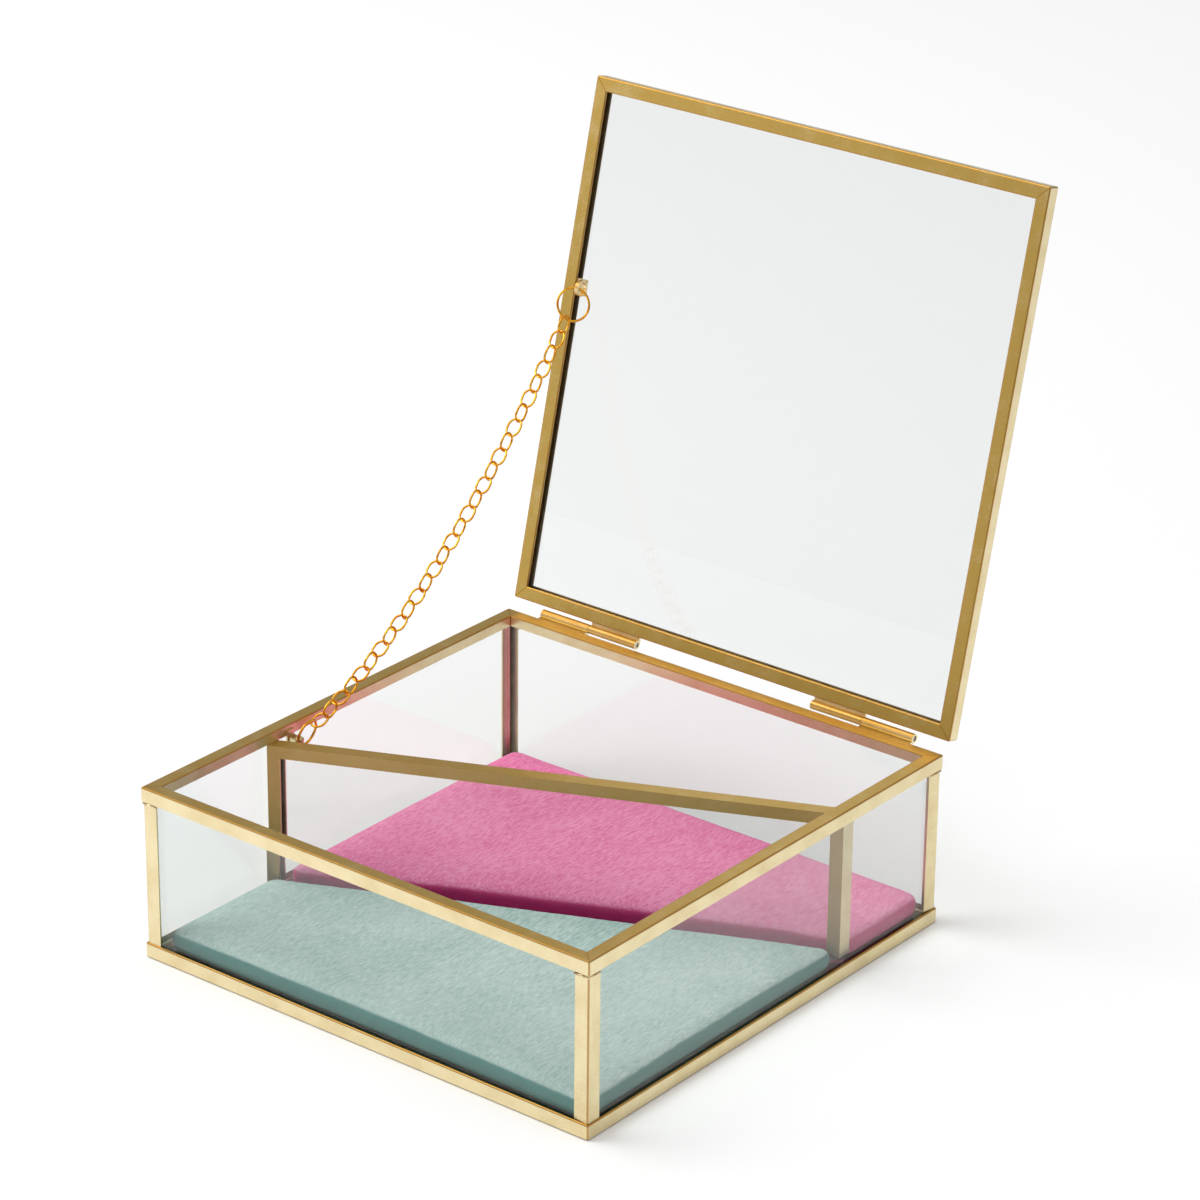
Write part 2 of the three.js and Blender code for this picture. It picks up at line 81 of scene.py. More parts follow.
# Cushions: cloth settings, the room left for the swell, and the padding's waves
SIM_FRAMES = 20
CLOTH_MASS = 0.15
CLOTH_TENSION = 40
CLOTH_BENDING = 4
CLOTH_QUALITY = 4
MERGE = 0.001 * MM
SHRINK_SHARE = 0.25
BROAD_WAVES = 45
FINE_WAVES = 120
FINE_SHARE = 0.5

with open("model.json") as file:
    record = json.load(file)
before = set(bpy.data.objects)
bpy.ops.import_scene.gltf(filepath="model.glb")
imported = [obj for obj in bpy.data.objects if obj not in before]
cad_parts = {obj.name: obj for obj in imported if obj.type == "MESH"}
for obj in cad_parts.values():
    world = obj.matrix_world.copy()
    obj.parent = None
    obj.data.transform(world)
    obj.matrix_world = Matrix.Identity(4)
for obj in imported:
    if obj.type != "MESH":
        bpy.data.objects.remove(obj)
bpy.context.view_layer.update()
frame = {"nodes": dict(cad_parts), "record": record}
NODES = frame["nodes"]
RECORD = frame["record"]
BODY_OF = {node: body for body, nodes in RECORD["behaviour"]["bodies"].items() for node in nodes}
LINKS = sorted(node for node in NODES if node.startswith("chain_link_"))
RINGS = ["ring_lid", "ring_box"]
PANES = [node for node in NODES if "pane" in node]
TRIM = [
    "base_rim", "top_rim", "post_front_right", "post_rear_right", "post_rear_left",
    "post_front_left",
]
POSTS = ["post_front_right", "post_rear_right", "post_rear_left", "post_front_left"]
FITTINGS = [
    "divider_frame", "lid_eye", "box_eye",
    "hinge_left_box_tube", "hinge_left_lid_tube", "hinge_right_box_tube", "hinge_right_lid_tube",
]
LID_JOINT = next(j for j in RECORD["behaviour"]["joints"] if j["name"] == "lid_hinge")
HINGE = Vector(LID_JOINT["pos_m"])
LID_OPEN = math.radians(LID_JOINT["range_deg"][1])


# ---------------------------------------------------------------- materials

def linear(hex_colour):
    """An sRGB hex colour as linear RGBA."""
    parts = [int(hex_colour[i:i + 2], 16) / 255 for i in (1, 3, 5)]
    return [c / 12.92 if c <= 0.04045 else ((c + 0.055) / 1.055) ** 2.4 for c in parts] + [1.0]


def new_material(name):
    """An empty node material and its Principled shader."""
    material = bpy.data.materials.new(name)
    material.use_nodes = True
    return material, material.node_tree.nodes["Principled BSDF"]


def node(material, kind, inputs=None, links=None, **settings):
    """Adds a node: its settings, its input values, and links from (socket name: output)."""
    made = material.node_tree.nodes.new(kind)
    for key, value in settings.items():
        setattr(made, key, value)
    for key, value in (inputs or {}).items():
        made.inputs[key].default_value = value
    for key, source in (links or {}).items():
        material.node_tree.links.new(source, made.inputs[key])
    return made


def wire(material, source, target):
    """Links a node's output to a socket."""
    material.node_tree.links.new(source, target)


def satin_brass(name, pale, deep, edge, mitred=True, lid=False):
    """Plated brass strip: painted shade makes the tops deeper and the rounded folds darker than the
    pale sides; grain, plating and soldered mitres mark it too.
    """
    material, shader = new_material(name)
    place = node(material, "ShaderNodeTexCoord").outputs["Object"]
    normal = node(material, "ShaderNodeNewGeometry").outputs["Normal"]
    if lid:
        shut = {"Rotation": (LID_OPEN, 0, 0)}
        normal = node(material, "ShaderNodeMapping", shut, {"Vector": normal},
                      vector_type="NORMAL").outputs[0]
        shift = HINGE - Matrix.Rotation(LID_OPEN, 3, "X") @ HINGE
        place = node(material, "ShaderNodeMapping", {**shut, "Location": shift},
                     {"Vector": place}).outputs[0]
    grain = node(material, "ShaderNodeTexNoise", {"Scale": BRASS_GRAIN, "Detail": 3,
                                                        "Roughness": 0.6}, {"Vector": place})
    cloud = node(material, "ShaderNodeTexNoise", {"Scale": BRASS_CLOUDS, "Detail": 3},
                 {"Vector": place})
    # Painted shade: faces turned up take more of the deep brass, mixed with the random grain and
    # the plating's clouds.
    size = node(material, "ShaderNodeVectorMath", {}, {0: normal}, operation="ABSOLUTE")
    facing = node(material, "ShaderNodeSeparateXYZ", {}, {"Vector": size.outputs[0]})
    top_shade_and_grain = node(material, "ShaderNodeMath", {1: 0.4}, {0: facing.outputs["Z"]},
                operation="MULTIPLY")
    top_shade_and_grain = node(material, "ShaderNodeMath", {1: 0.35}, {0: grain.outputs["Fac"],
                                                        2: top_shade_and_grain.outputs[0]},
                operation="MULTIPLY_ADD")
    top_shade_and_grain = node(material, "ShaderNodeMath", {1: 0.35}, {0: cloud.outputs["Fac"],
                                                        2: top_shade_and_grain.outputs[0]},
                operation="MULTIPLY_ADD")
    colour = node(material, "ShaderNodeValToRGB", {}, {"Fac": top_shade_and_grain.outputs[0]})
    colour.color_ramp.elements[0].position = 0.3
    colour.color_ramp.elements[0].color = linear(pale)
    colour.color_ramp.elements[1].position = 0.75
    colour.color_ramp.elements[1].color = linear(deep)
    widest = node(material, "ShaderNodeMath", {}, {0: facing.outputs["X"],
                                                   1: facing.outputs["Y"]}, operation="MAXIMUM")
    widest = node(material, "ShaderNodeMath", {}, {0: widest.outputs[0],
                                                   1: facing.outputs["Z"]}, operation="MAXIMUM")
    # Painted shade: the rounded folds, whose faces turn away from the straight axes, take the
    # darker colour of the folds.
    fold_shade_mask = node(material, "ShaderNodeMapRange",
                {"From Min": 0.99, "From Max": 0.93, "To Min": 0, "To Max": 0.75},
                {"Value": widest.outputs[0]})
    dark = fold_shade_mask.outputs["Result"]
    if mitred:
        dark = mitre_line(material, place, dark)
    mixed = node(material, "ShaderNodeMix", {"B": linear(edge)},
                 {"Factor": dark, "A": colour.outputs["Color"]}, data_type="RGBA")
    wire(material, mixed.outputs["Result"], shader.inputs["Base Color"])
    rough = node(material, "ShaderNodeMapRange", {"To Min": 0.26, "To Max": 0.42},
                 {"Value": grain.outputs["Fac"]})
    wire(material, rough.outputs["Result"], shader.inputs["Roughness"])
    bump = node(material, "ShaderNodeBump", {"Strength": 0.4, "Distance": 0.06 * MM},
                {"Height": grain.outputs["Fac"]})
    wire(material, bump.outputs["Normal"], shader.inputs["Normal"])
    shader.inputs["Metallic"].default_value = 1
    return material


def mitre_line(material, place, dark):
    """Darkens a thin line where the strips meet on the square's diagonals."""
    size = node(material, "ShaderNodeVectorMath", {}, {0: place}, operation="ABSOLUTE")
    way = node(material, "ShaderNodeSeparateXYZ", {}, {"Vector": size.outputs[0]})
    off = node(material, "ShaderNodeMath", {}, {0: way.outputs["X"], 1: way.outputs["Y"]},
               operation="SUBTRACT")
    off = node(material, "ShaderNodeMath", {}, {0: off.outputs[0]}, operation="ABSOLUTE")
    line = node(material, "ShaderNodeMapRange",
                {"From Min": 0.08 * MM, "From Max": 0.3 * MM, "To Min": 0.8, "To Max": 0},
                {"Value": off.outputs[0]})
    return node(material, "ShaderNodeMath", {}, {0: dark, 1: line.outputs["Result"]},
                operation="MAXIMUM").outputs[0]


def polished_gold(name, bright, deep):
    """Plated brass wire: a near mirror, a little redder and duller in patches."""
    material, shader = new_material(name)
    place = node(material, "ShaderNodeTexCoord").outputs["Object"]
    patches = node(material, "ShaderNodeTexNoise", {"Scale": WIRE_PATCHES, "Detail": 2},
                   {"Vector": place})
    colour = node(material, "ShaderNodeValToRGB", {}, {"Fac": patches.outputs["Fac"]})
    colour.color_ramp.elements[0].position = 0.35
    colour.color_ramp.elements[0].color = linear(deep)
    colour.color_ramp.elements[1].position = 0.6
    colour.color_ramp.elements[1].color = linear(bright)
    wire(material, colour.outputs["Color"], shader.inputs["Base Color"])
    rough = node(material, "ShaderNodeMapRange", {"To Min": 0.1, "To Max": 0.24},
                 {"Value": patches.outputs["Fac"]})
    wire(material, rough.outputs["Result"], shader.inputs["Roughness"])
    shader.inputs["Metallic"].default_value = 1
    return material


def drawn_steel(name, tint):
    """Drawn steel wire: fine lines round the pin."""
    material, shader = new_material(name)
    place = node(material, "ShaderNodeTexCoord").outputs["Object"]
    lines = node(material, "ShaderNodeTexNoise", {"Scale": STEEL_LINES, "Detail": 2},
                 {"Vector": place})
    rough = node(material, "ShaderNodeMapRange", {"To Min": 0.2, "To Max": 0.4},
                 {"Value": lines.outputs["Fac"]})
    wire(material, rough.outputs["Result"], shader.inputs["Roughness"])
    shader.inputs["Base Color"].default_value = linear(tint)
    shader.inputs["Metallic"].default_value = 1
    return material


def float_glass(name, tint, mirror=0.22):
    """Clear float glass: the lamps pass through it, the eye sees it bend and mirror."""
    material, shader = new_material(name)
    shader.inputs["Base Color"].default_value = linear(tint)
    shader.inputs["Roughness"].default_value = 0
    shader.inputs["IOR"].default_value = 1.5
    shader.inputs["Specular IOR Level"].default_value = mirror
    shader.inputs["Transmission Weight"].default_value = 1
    clear = node(material, "ShaderNodeBsdfTransparent", {"Color": linear("#FAFCFB")})
    ray = node(material, "ShaderNodeLightPath")
    mix = node(material, "ShaderNodeMixShader", {}, {0: ray.outputs["Is Shadow Ray"],
                                                      1: shader.outputs[0], 2: clear.outputs[0]})
    output = material.node_tree.nodes["Material Output"]
    wire(material, mix.outputs[0], output.inputs["Surface"])
    return material


def wool_felt(name, tint):
    """Pressed black felt: matt, with short tangled fibres."""
    material, shader = new_material(name)
    place = node(material, "ShaderNodeTexCoord").outputs["Object"]
    fibres = node(material, "ShaderNodeTexNoise", {"Scale": FELT_FIBRES, "Detail": 5,
                                                          "Distortion": 1.5}, {"Vector": place})
    bump = node(material, "ShaderNodeBump", {"Strength": 0.6, "Distance": 0.2 * MM},
                {"Height": fibres.outputs["Fac"]})
    wire(material, bump.outputs["Normal"], shader.inputs["Normal"])
    shader.inputs["Base Color"].default_value = linear(tint)
    shader.inputs["Roughness"].default_value = 0.95
    shader.inputs["Specular IOR Level"].default_value = 0.1
    return material


def velvet(name, lit, shade, side):
    """Short-pile polyester velvet: fine strokes of pile, and painted shade on the sides that turn
    away from straight up.
    """
    material, shader = new_material(name)
    place = node(material, "ShaderNodeTexCoord").outputs["Object"]
    lay = node(material, "ShaderNodeMapping", {"Scale": (1, 0.2, 1)}, {"Vector": place})
    strokes = node(material, "ShaderNodeTexNoise",
                   {"Scale": PILE_STROKES, "Detail": 2, "Roughness": 0.6, "Distortion": 0.2},
                   {"Vector": lay.outputs[0]})
    brushed = node(material, "ShaderNodeTexNoise",
                   {"Scale": PILE_BRUSHED, "Detail": 5, "Roughness": 0.7, "Distortion": 0.4},
                   {"Vector": place})
    mixed = node(material, "ShaderNodeMath", {1: 0.35, 2: 0.26}, {0: brushed.outputs["Fac"]},
                 operation="MULTIPLY_ADD")
    total = node(material, "ShaderNodeMath", {1: 0.6}, {0: strokes.outputs["Fac"],
                                                        2: mixed.outputs[0]},
                 operation="MULTIPLY_ADD")
    colour = node(material, "ShaderNodeValToRGB", {}, {"Fac": total.outputs[0]})
    colour.color_ramp.elements[0].position = 0.6
    colour.color_ramp.elements[0].color = linear(shade)
    colour.color_ramp.elements[1].position = 0.85
    colour.color_ramp.elements[1].color = linear(lit)
    # Painted shade: faces turning away from straight up take the deeper side colour.
    facing = node(material, "ShaderNodeSeparateXYZ", {},
                  {"Vector": node(material, "ShaderNodeNewGeometry").outputs["Normal"]})
    top = node(material, "ShaderNodeMapRange", {"From Min": 0.25, "From Max": 0.8},
               {"Value": facing.outputs["Z"]}, interpolation_type="SMOOTHSTEP")
    both = node(material, "ShaderNodeMix", {"A": linear(side)},
                {"Factor": top.outputs["Result"], "B": colour.outputs["Color"]},
                data_type="RGBA")
    wire(material, both.outputs["Result"], shader.inputs["Base Color"])
    bump = node(material, "ShaderNodeBump", {"Strength": 0.8, "Distance": 0.2 * MM},
                {"Height": strokes.outputs["Fac"]})
    wire(material, bump.outputs["Normal"], shader.inputs["Normal"])
    shader.inputs["Roughness"].default_value = 0.92
    shader.inputs["Sheen Weight"].default_value = 0.25
    shader.inputs["Sheen Roughness"].default_value = 0.4
    shader.inputs["Sheen Tint"].default_value = linear(lit)
    return material


def grey_board(name, tint):
    """Grey millboard under each cushion: matt, with specks of pulp."""
    material, shader = new_material(name)
    place = node(material, "ShaderNodeTexCoord").outputs["Object"]
    pulp = node(material, "ShaderNodeTexNoise", {"Scale": BOARD_PULP, "Detail": 4},
                {"Vector": place})
    bump = node(material, "ShaderNodeBump", {"Strength": 0.3, "Distance": 0.1 * MM},
                {"Height": pulp.outputs["Fac"]})
    wire(material, bump.outputs["Normal"], shader.inputs["Normal"])
    shader.inputs["Base Color"].default_value = linear(tint)
    shader.inputs["Roughness"].default_value = 0.9
    return material


def matt_paper(name, tint):
    """The studio's seamless white paper."""
    material, shader = new_material(name)
    shader.inputs["Base Color"].default_value = linear(tint)
    shader.inputs["Roughness"].default_value = 0.85
    shader.inputs["Specular IOR Level"].default_value = 0.1
    return material


# ---------------------------------------------------------------- mesh helpers

def finish_piece(name, shape, material, smooth=True):
    """Turns a bmesh into a linked object with one material."""
    bmesh.ops.recalc_face_normals(shape, faces=shape.faces)
    mesh = bpy.data.meshes.new(name)
    shape.to_mesh(mesh)
    shape.free()
    mesh.polygons.foreach_set("use_smooth", [smooth] * len(mesh.polygons))
    mesh.materials.append(material)
    piece = bpy.data.objects.new(name, mesh)
    bpy.context.scene.collection.objects.link(piece)
    return piece


def dress(names, material):
    """Gives CAD nodes a finer material."""
    for name in names:
        NODES[name].data.materials.clear()
        NODES[name].data.materials.append(material)


def loop_axes(name):
    """A wire loop's centre, long way, face direction, length, width and wire across flats."""
    points = np.array([v.co for v in NODES[name].data.vertices])
    middle = points.mean(0)
    _, _, axes = np.linalg.svd(points - middle, full_matrices=False)
    spread = (points - middle) @ axes.T
    size = spread.max(0) - spread.min(0)
    return Vector(middle), Vector(axes[0]), Vector(axes[2]), size[0], size[1], size[2]


def wire_loop(name, turns, sides):
    """A closed loop of round wire, in the place of the CAD loop of that name."""
    centre, along, face, length, width, flats = loop_axes(name)
    gauge = flats * ROUND_FROM_FLATS
    shape = bmesh.new()
    bmesh.ops.create_circle(shape, cap_ends=False, segments=sides, radius=gauge / 2,
                            matrix=Matrix.Rotation(math.pi / 2, 4, "X"))
    bmesh.ops.translate(shape, verts=shape.verts, vec=((width - gauge) / 2, 0, 0))
    bmesh.ops.rotate(shape, verts=shape.verts, cent=(0, 0, 0),
                     matrix=Matrix.Rotation(math.pi / turns, 3, "Z"))
    bmesh.ops.spin(shape, geom=shape.verts[:] + shape.edges[:], cent=(0, 0, 0), axis=(0, 0, 1),
                   angle=2 * math.pi, steps=turns, use_merge=True)
    for half in (1, -1):
        side = [v for v in shape.verts if v.co.y * half > 0]
        bmesh.ops.translate(shape, verts=side, vec=(0, half * (length - width) / 2, 0))
    place = Matrix((along.cross(face), along, face)).transposed().to_4x4()
    bmesh.ops.transform(shape, matrix=Matrix.Translation(centre) @ place, verts=shape.verts)
    return shape


# ---------------------------------------------------------------- settings

class BoxTrimSettings(bpy.types.PropertyGroup):
    """Brass and glass."""
    pale: StringProperty(name="Pale brass", description="Brass where it is lit", default="#EFE0B6")
    # Deep brass is painted shade on the faces turned up, and also the darker grain and plating.
    deep: StringProperty(name="Deep brass", description="Brass in its grain", default="#C2A054")
    # The colour of the folds is painted shade on the rounded folds, and the real dark line of the
    # soldered mitres.
    edge: StringProperty(name="Folds", description="Burnished folds and mitres",
                         default="#A87426")
    glass: StringProperty(name="Glass", description="Tint of the glass", default="#F1F3F2")
    floor_glass: StringProperty(name="Floor glass", description="Tint of the glass floor",
                                default="#DFE9E4")
    felt: StringProperty(name="Felt", description="Felt under the floor", default="#060605")


class BoxJoinSettings(bpy.types.PropertyGroup):
    """Crimps and solder on the posts."""
    crimp: FloatProperty(name="Crimp", description="Height of the ridge under the rim",
                         default=0.7 * MM, unit="LENGTH")
    crimp_length: FloatProperty(name="Crimp length", description="Length of the ridge on a face",
                                default=4.4 * MM, unit="LENGTH")
    bead: FloatProperty(name="Bead", description="Radius of the solder at a corner",
                        default=0.45 * MM, unit="LENGTH")


class BoxChainSettings(bpy.types.PropertyGroup):
    """The stay chain's look."""
    bright: StringProperty(name="Bright gold", description="Lit wire", default="#F6B83A")
    deep: StringProperty(name="Deep gold", description="Tarnished wire", default="#D98C1C")
    turns: IntProperty(name="Steps round a link", description="Faces round one link",
                       default=24, min=12, max=64)
    sides: IntProperty(name="Sides of the wire", description="Faces round the wire",
                       default=8, min=6, max=16)


class BoxCushionSettings(bpy.types.PropertyGroup):
    """The two velvet cushions."""
    mint: StringProperty(name="Mint", description="Front cushion, lit", default="#BFD3CD")
    mint_shade: StringProperty(name="Mint shade", description="Front cushion, between its pile",
                               default="#8DADA6")
    # The side colour is painted shade on the front cushion's sides.
    mint_side_shade: StringProperty(name="Mint side", description="Front cushion, sides",
                              default="#2F8078")
    pink: StringProperty(name="Pink", description="Rear cushion, lit", default="#FB9CC4")
    pink_shade: StringProperty(name="Pink shade", description="Rear cushion, between its pile",
                               default="#E25A97")
    # The side colour is painted shade on the rear cushion's sides.
    pink_side_shade: StringProperty(name="Pink side", description="Rear cushion, sides",
                              default="#D81E78")
    voxel: FloatProperty(name="Mesh size", description="Cloth mesh spacing",
                         default=1.6 * MM, unit="LENGTH")
    swell: FloatProperty(name="Swell", description="Furthest that the padding pushes the cloth",
                         default=0.9 * MM, unit="LENGTH")
    pressure: FloatProperty(name="Pressure", description="Push of the padding", default=4)
    ripple: FloatProperty(name="Ripple", description="Height of the uneven padding",
                          default=0.16 * MM, unit="LENGTH")


class BoxStageSettings(bpy.types.PropertyGroup):
    """Camera, floor and light."""
    azimuth: FloatProperty(name="Azimuth", description="Camera round the box",
                           default=math.radians(38.445), subtype="ANGLE")
    elevation: FloatProperty(name="Elevation", description="Camera above the floor",
                             default=math.radians(23.792), subtype="ANGLE")
    roll: FloatProperty(name="Roll", description="Camera tilt", default=math.radians(0.573),
                        subtype="ANGLE")
    lens: FloatProperty(name="Lens", description="Focal length in mm", default=135.33)
    floor: StringProperty(name="Floor", description="Paper colour", default="#FFFFFF")
    walls: StringProperty(name="Walls", description="The room below the ceiling light",
                          default="#B9B9BA")
    world: FloatProperty(name="Room light", description="Strength of the room's light",
                         default=0.9)
    key: FloatProperty(name="Key light", description="Power of the main softbox", default=13,
                       subtype="POWER")
    use_fill: BoolProperty(name="Fill", description="Light the left side too", default=True)


# ---------------------------------------------------------------- operators

class JEWELBOX_OT_stage(bpy.types.Operator):
    """Set the camera, the paper floor and the soft light"""
    bl_idname = "jewelbox.stage"
    bl_label = "Stage"

    def execute(self, context):
        settings = context.scene.jewel_stage
        self.camera(context, settings)
        self.floor(settings)
        self.light(context, settings)
        return {"FINISHED"}

    def camera(self, context, settings):
        data = bpy.data.cameras.new("box_camera")
        data.sensor_width = SENSOR_WIDTH
        data.lens = settings.lens
        data.clip_end = VIEW_DEPTH
        camera = bpy.data.objects.new("box_camera", data)
        context.scene.collection.objects.link(camera)
        az, el = settings.azimuth, settings.elevation
        back = Vector((math.sin(az) * math.cos(el), -math.cos(az) * math.cos(el), math.sin(el)))
        right = Vector((math.cos(az), math.sin(az), 0))
        up = back.cross(right)
        turn = Matrix((right, up, back)).transposed() @ Matrix.Rotation(settings.roll, 3, "Z")
        camera.matrix_world = Matrix.Translation(CAMERA_PLACE) @ turn.to_4x4()
        context.scene.camera = camera

    def floor(self, settings):
        shape = bmesh.new()
        bmesh.ops.create_grid(shape, x_segments=1, y_segments=1, size=FLOOR_HALF)
        paper = finish_piece("paper_floor", shape, matt_paper("seamless_paper", settings.floor))

    def light(self, context, settings):
        world = bpy.data.worlds.new("studio_room")
        world.use_nodes = True
        backdrop = world.node_tree.nodes["Background"]
        towards = node(world, "ShaderNodeTexCoord").outputs["Generated"]
        height = node(world, "ShaderNodeSeparateXYZ", {}, {"Vector": towards})
        room = node(world, "ShaderNodeValToRGB", {}, {"Fac": height.outputs["Z"]})
        room.color_ramp.elements[0].position = WALLS_END
        room.color_ramp.elements[0].color = linear(settings.walls)
        room.color_ramp.elements[1].position = CEILING_STARTS
        room.color_ramp.elements[1].color = (1, 1, 1, 1)
        wire(world, room.outputs["Color"], backdrop.inputs["Color"])
        backdrop.inputs["Strength"].default_value = settings.world
        context.scene.world = world
        context.scene.view_settings.view_transform = "Standard"
        softbox(context, "key_softbox", KEY_PLACE, KEY_SIZE, settings.key)
        if settings.use_fill:
            softbox(context, "fill_softbox", FILL_PLACE, FILL_SIZE, settings.key * FILL_SHARE)


def softbox(context, name, place, size, power):
    """A square area light that looks at the box."""
    data = bpy.data.lights.new(name, "AREA")
    data.shape = "SQUARE"
    data.size = size
    data.energy = power
    lamp = bpy.data.objects.new(name, data)
    place = Vector(place)
    turn = place.to_track_quat("Z", "Y").to_matrix().to_4x4()
    lamp.matrix_world = Matrix.Translation(place) @ turn
    context.scene.collection.objects.link(lamp)


class JEWELBOX_OT_trim(bpy.types.Operator):
    """Finish the brass, the glass, the felt and the boards"""
    bl_idname = "jewelbox.trim"
    bl_label = "Trim and glass"

    def execute(self, context):
        settings = context.scene.jewel_trim
        tones = settings.pale, settings.deep, settings.edge
        dress(TRIM, satin_brass("box_brass", *tones))
        dress(["lid_frame"], satin_brass("lid_brass", *tones, lid=True))
        dress(FITTINGS, satin_brass("fitting_brass", *tones, mitred=False))
        dress(PANES, float_glass("float_glass", settings.glass))
        dress(["pane_bottom"], float_glass("floor_glass", settings.floor_glass, 0.15))
        dress(["base_felt"], wool_felt("pressed_felt", settings.felt))
        dress(["front_board", "rear_board"], grey_board("millboard", "#3B3936"))
        dress(["hinge_left_pin", "hinge_right_pin"], drawn_steel("drawn_steel", "#B9BCC0"))
        return {"FINISHED"}


class JEWELBOX_OT_joins(bpy.types.Operator):
    """Crimp the tops of the posts and solder the corners"""
    bl_idname = "jewelbox.joins"
    bl_label = "Crimps and solder"

    def execute(self, context):
        settings = context.scene.jewel_joins
        trim = context.scene.jewel_trim
        solder = polished_gold("solder", trim.pale, trim.edge)
        for post in POSTS:
            low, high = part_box(post)
            outward = [1 if low[i] + high[i] > 0 else -1 for i in (0, 1)]
            corner = Vector((high.x if outward[0] > 0 else low.x,
                             high.y if outward[1] > 0 else low.y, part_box("top_rim")[0].z))
            shape = bmesh.new()
            self.crimp(shape, corner, outward, settings)
            self.bead(shape, corner, outward, settings)
            piece = finish_piece("join_" + post, shape, solder)
            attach(piece, BODY_OF[post])
        return {"FINISHED"}

    def crimp(self, shape, corner, outward, settings):
        """A pressed ridge across both faces of the post, under the rim."""
        for along in (0, 1):
            across = 1 - along
            middle = corner - Vector((0, 0, settings.crimp))
            middle[along] -= outward[along] * settings.crimp_length / 2
            turn = Matrix.Rotation(math.pi / 2, 4, "Y" if along == 0 else "X")
            bmesh.ops.create_cone(shape, cap_ends=True, segments=CRIMP_FACES,
                                  radius1=settings.crimp / 2, radius2=settings.crimp / 2,
                                  depth=settings.crimp_length,
                                  matrix=Matrix.Translation(middle) @ turn)

    def bead(self, shape, corner, outward, settings):
        """A drop of solder where the rim's mitre meets the post."""
        inset = settings.bead * BEAD_INSET
        drop = settings.crimp * BEAD_DROP
        middle = corner - Vector((outward[0] * inset, outward[1] * inset, drop))
        bmesh.ops.create_uvsphere(shape, u_segments=12, v_segments=8, radius=settings.bead,
                                  matrix=Matrix.Translation(middle))


class JEWELBOX_OT_chain(bpy.types.Operator):
    """Bend the stay chain's links and rings from round wire"""
    bl_idname = "jewelbox.chain"
    bl_label = "Stay chain"

    def execute(self, context):
        settings = context.scene.jewel_chain
        gold = polished_gold("plated_wire", settings.bright, settings.deep)
        for name in LINKS + RINGS:
            turns = settings.turns * (2 if name in RINGS else 1)
            shape = wire_loop(name, turns, settings.sides)
            piece = finish_piece("wire_" + name, shape, gold)
            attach(piece, BODY_OF[name])
            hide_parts(name)
        return {"FINISHED"}


class JEWELBOX_OT_cushions(bpy.types.Operator):
    """Stuff the two velvet cushions by cloth simulation"""
    bl_idname = "jewelbox.cushions"
    bl_label = "Cushions"

    def execute(self, context):
        settings = context.scene.jewel_cushions
        mint = velvet("mint_velvet", settings.mint, settings.mint_shade, settings.mint_side_shade)
        pink = velvet("pink_velvet", settings.pink, settings.pink_shade, settings.pink_side_shade)
        for name, cloth in (("front_cushion", mint), ("rear_cushion", pink)):
            piece = self.pad(context, name, cloth, settings)
            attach(piece, BODY_OF[name])
            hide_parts(name)
        return {"FINISHED"}

    def pad(self, context, name, cloth, settings):
        shape = bmesh.new()
        shape.from_mesh(NODES[name].data)
        bmesh.ops.remove_doubles(shape, verts=shape.verts, dist=MERGE)
        hull = bmesh.ops.convex_hull(shape, input=shape.verts)
        spare = set(hull["geom_interior"]) | set(hull["geom_unused"])
        bmesh.ops.delete(shape, geom=[v for v in spare if isinstance(v, bmesh.types.BMVert)],
                         context="VERTS")
        piece = finish_piece("velvet_" + name, shape, cloth)
        low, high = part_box(name)
        shrink(piece, (low + high) / 2, settings.swell * SHRINK_SHARE)
        remesh = piece.modifiers.new("even", "REMESH")
        remesh.mode = "VOXEL"
        remesh.voxel_size = settings.voxel
        apply_modifiers(piece)
        inflate(context, piece, settings.pressure, settings.swell, low.z)
        ripple(piece, settings.ripple, low.z, high.z)
        finer = piece.modifiers.new("smooth", "SUBSURF")
        finer.levels = finer.render_levels = 1
        apply_modifiers(piece)
        piece.data.polygons.foreach_set("use_smooth", [True] * len(piece.data.polygons))
        return piece


def apply_modifiers(piece):
    """Writes a piece's modifiers into its mesh."""
    graph = bpy.context.evaluated_depsgraph_get()
    mesh = bpy.data.meshes.new_from_object(piece.evaluated_get(graph))
    piece.modifiers.clear()
    piece.data = mesh


def shrink(piece, centre, inset):
    """Moves each side of a piece inwards by inset, its underside excepted."""
    low = min(v.co.z for v in piece.data.vertices)
    for vertex in piece.data.vertices:
        side = vertex.co - centre
        vertex.co.x -= math.copysign(inset, side.x)
        vertex.co.y -= math.copysign(inset, side.y)
        if vertex.co.z > low + inset:
            vertex.co.z -= inset


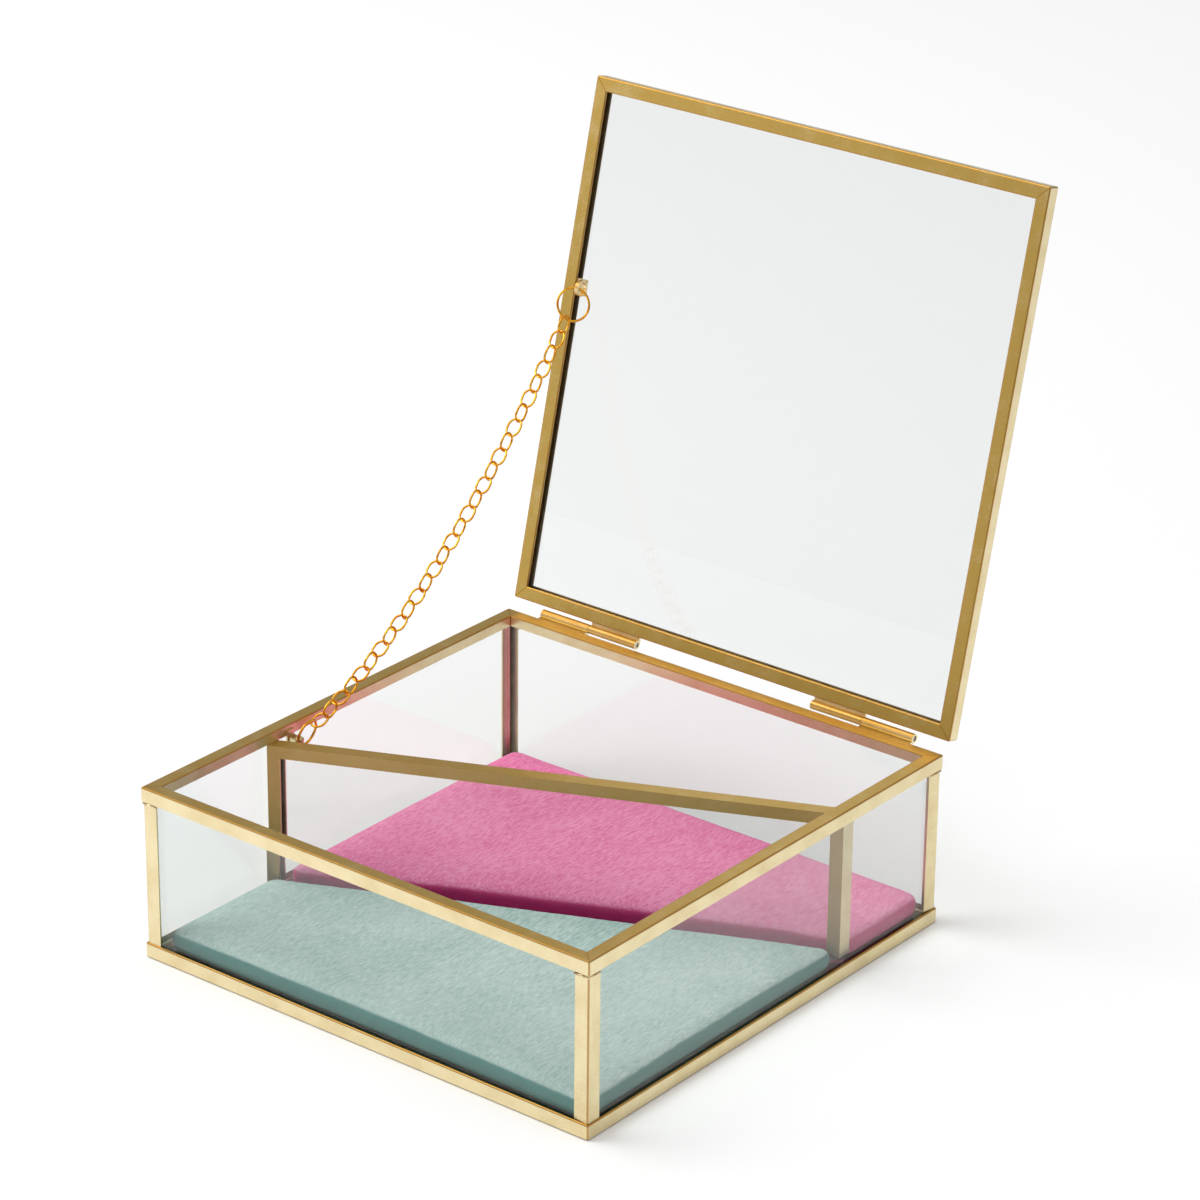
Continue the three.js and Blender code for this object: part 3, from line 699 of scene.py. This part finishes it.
def inflate(context, piece, pressure, cap, floor):
    """Blows cloth up from inside, and keeps each point within cap of where it started."""
    cloth = piece.modifiers.new("stuffing", "CLOTH")
    cloth.settings.use_pressure = True
    cloth.settings.uniform_pressure_force = pressure
    cloth.settings.mass = CLOTH_MASS
    cloth.settings.tension_stiffness = CLOTH_TENSION
    cloth.settings.bending_stiffness = CLOTH_BENDING
    cloth.settings.quality = CLOTH_QUALITY
    cloth.settings.effector_weights.gravity = 0
    cloth.collision_settings.use_collision = False
    start = [v.co.copy() for v in piece.data.vertices]
    for step in range(1, SIM_FRAMES + 1):
        context.scene.frame_set(step)
    apply_modifiers(piece)
    context.scene.frame_set(1)
    for vertex, was in zip(piece.data.vertices, start):
        move = vertex.co - was
        if move.length > cap:
            move *= cap / move.length
        vertex.co = was + move
        vertex.co.z = max(vertex.co.z, floor)


def ripple(piece, height, low, high):
    """Uneven padding: slow swells over the top, none where the cushion lies on its board."""
    for vertex in piece.data.vertices:
        rise = max(0.0, (vertex.co.z - low) / (high - low))
        swell = noise.noise(vertex.co * BROAD_WAVES)
        swell += FINE_SHARE * noise.noise(vertex.co * FINE_WAVES)
        vertex.co.z += height * swell * rise


class JEWELBOX_PT_panel(bpy.types.Panel):
    """Lists the box's pieces"""
    bl_idname = "JEWELBOX_PT_panel"
    bl_label = "Jewelry Box"
    bl_space_type = "VIEW_3D"
    bl_region_type = "UI"
    bl_category = "Jewelry Box"

    def draw(self, context):
        for operator, group, _ in PARTS:
            self.layout.operator(operator.bl_idname)
            settings = getattr(context.scene, group)
            for prop in settings.bl_rna.properties:
                if not prop.is_readonly and prop.identifier != "name":
                    self.layout.prop(settings, prop.identifier)


PARTS = (
    (JEWELBOX_OT_stage, "jewel_stage", BoxStageSettings),
    (JEWELBOX_OT_trim, "jewel_trim", BoxTrimSettings),
    (JEWELBOX_OT_joins, "jewel_joins", BoxJoinSettings),
    (JEWELBOX_OT_chain, "jewel_chain", BoxChainSettings),
    (JEWELBOX_OT_cushions, "jewel_cushions", BoxCushionSettings),
)


def register():
    for operator, group, settings in PARTS:
        bpy.utils.register_class(settings)
        bpy.utils.register_class(operator)
        setattr(bpy.types.Scene, group, PointerProperty(type=settings))
    bpy.utils.register_class(JEWELBOX_PT_panel)


def unregister():
    bpy.utils.unregister_class(JEWELBOX_PT_panel)
    for operator, group, settings in reversed(PARTS):
        delattr(bpy.types.Scene, group)
        bpy.utils.unregister_class(operator)
        bpy.utils.unregister_class(settings)


def main():
    register()
    bpy.ops.jewelbox.stage()
    bpy.ops.jewelbox.trim()
    bpy.ops.jewelbox.joins()
    bpy.ops.jewelbox.chain()
    bpy.ops.jewelbox.cushions()


if __name__ == "__main__":
    main()
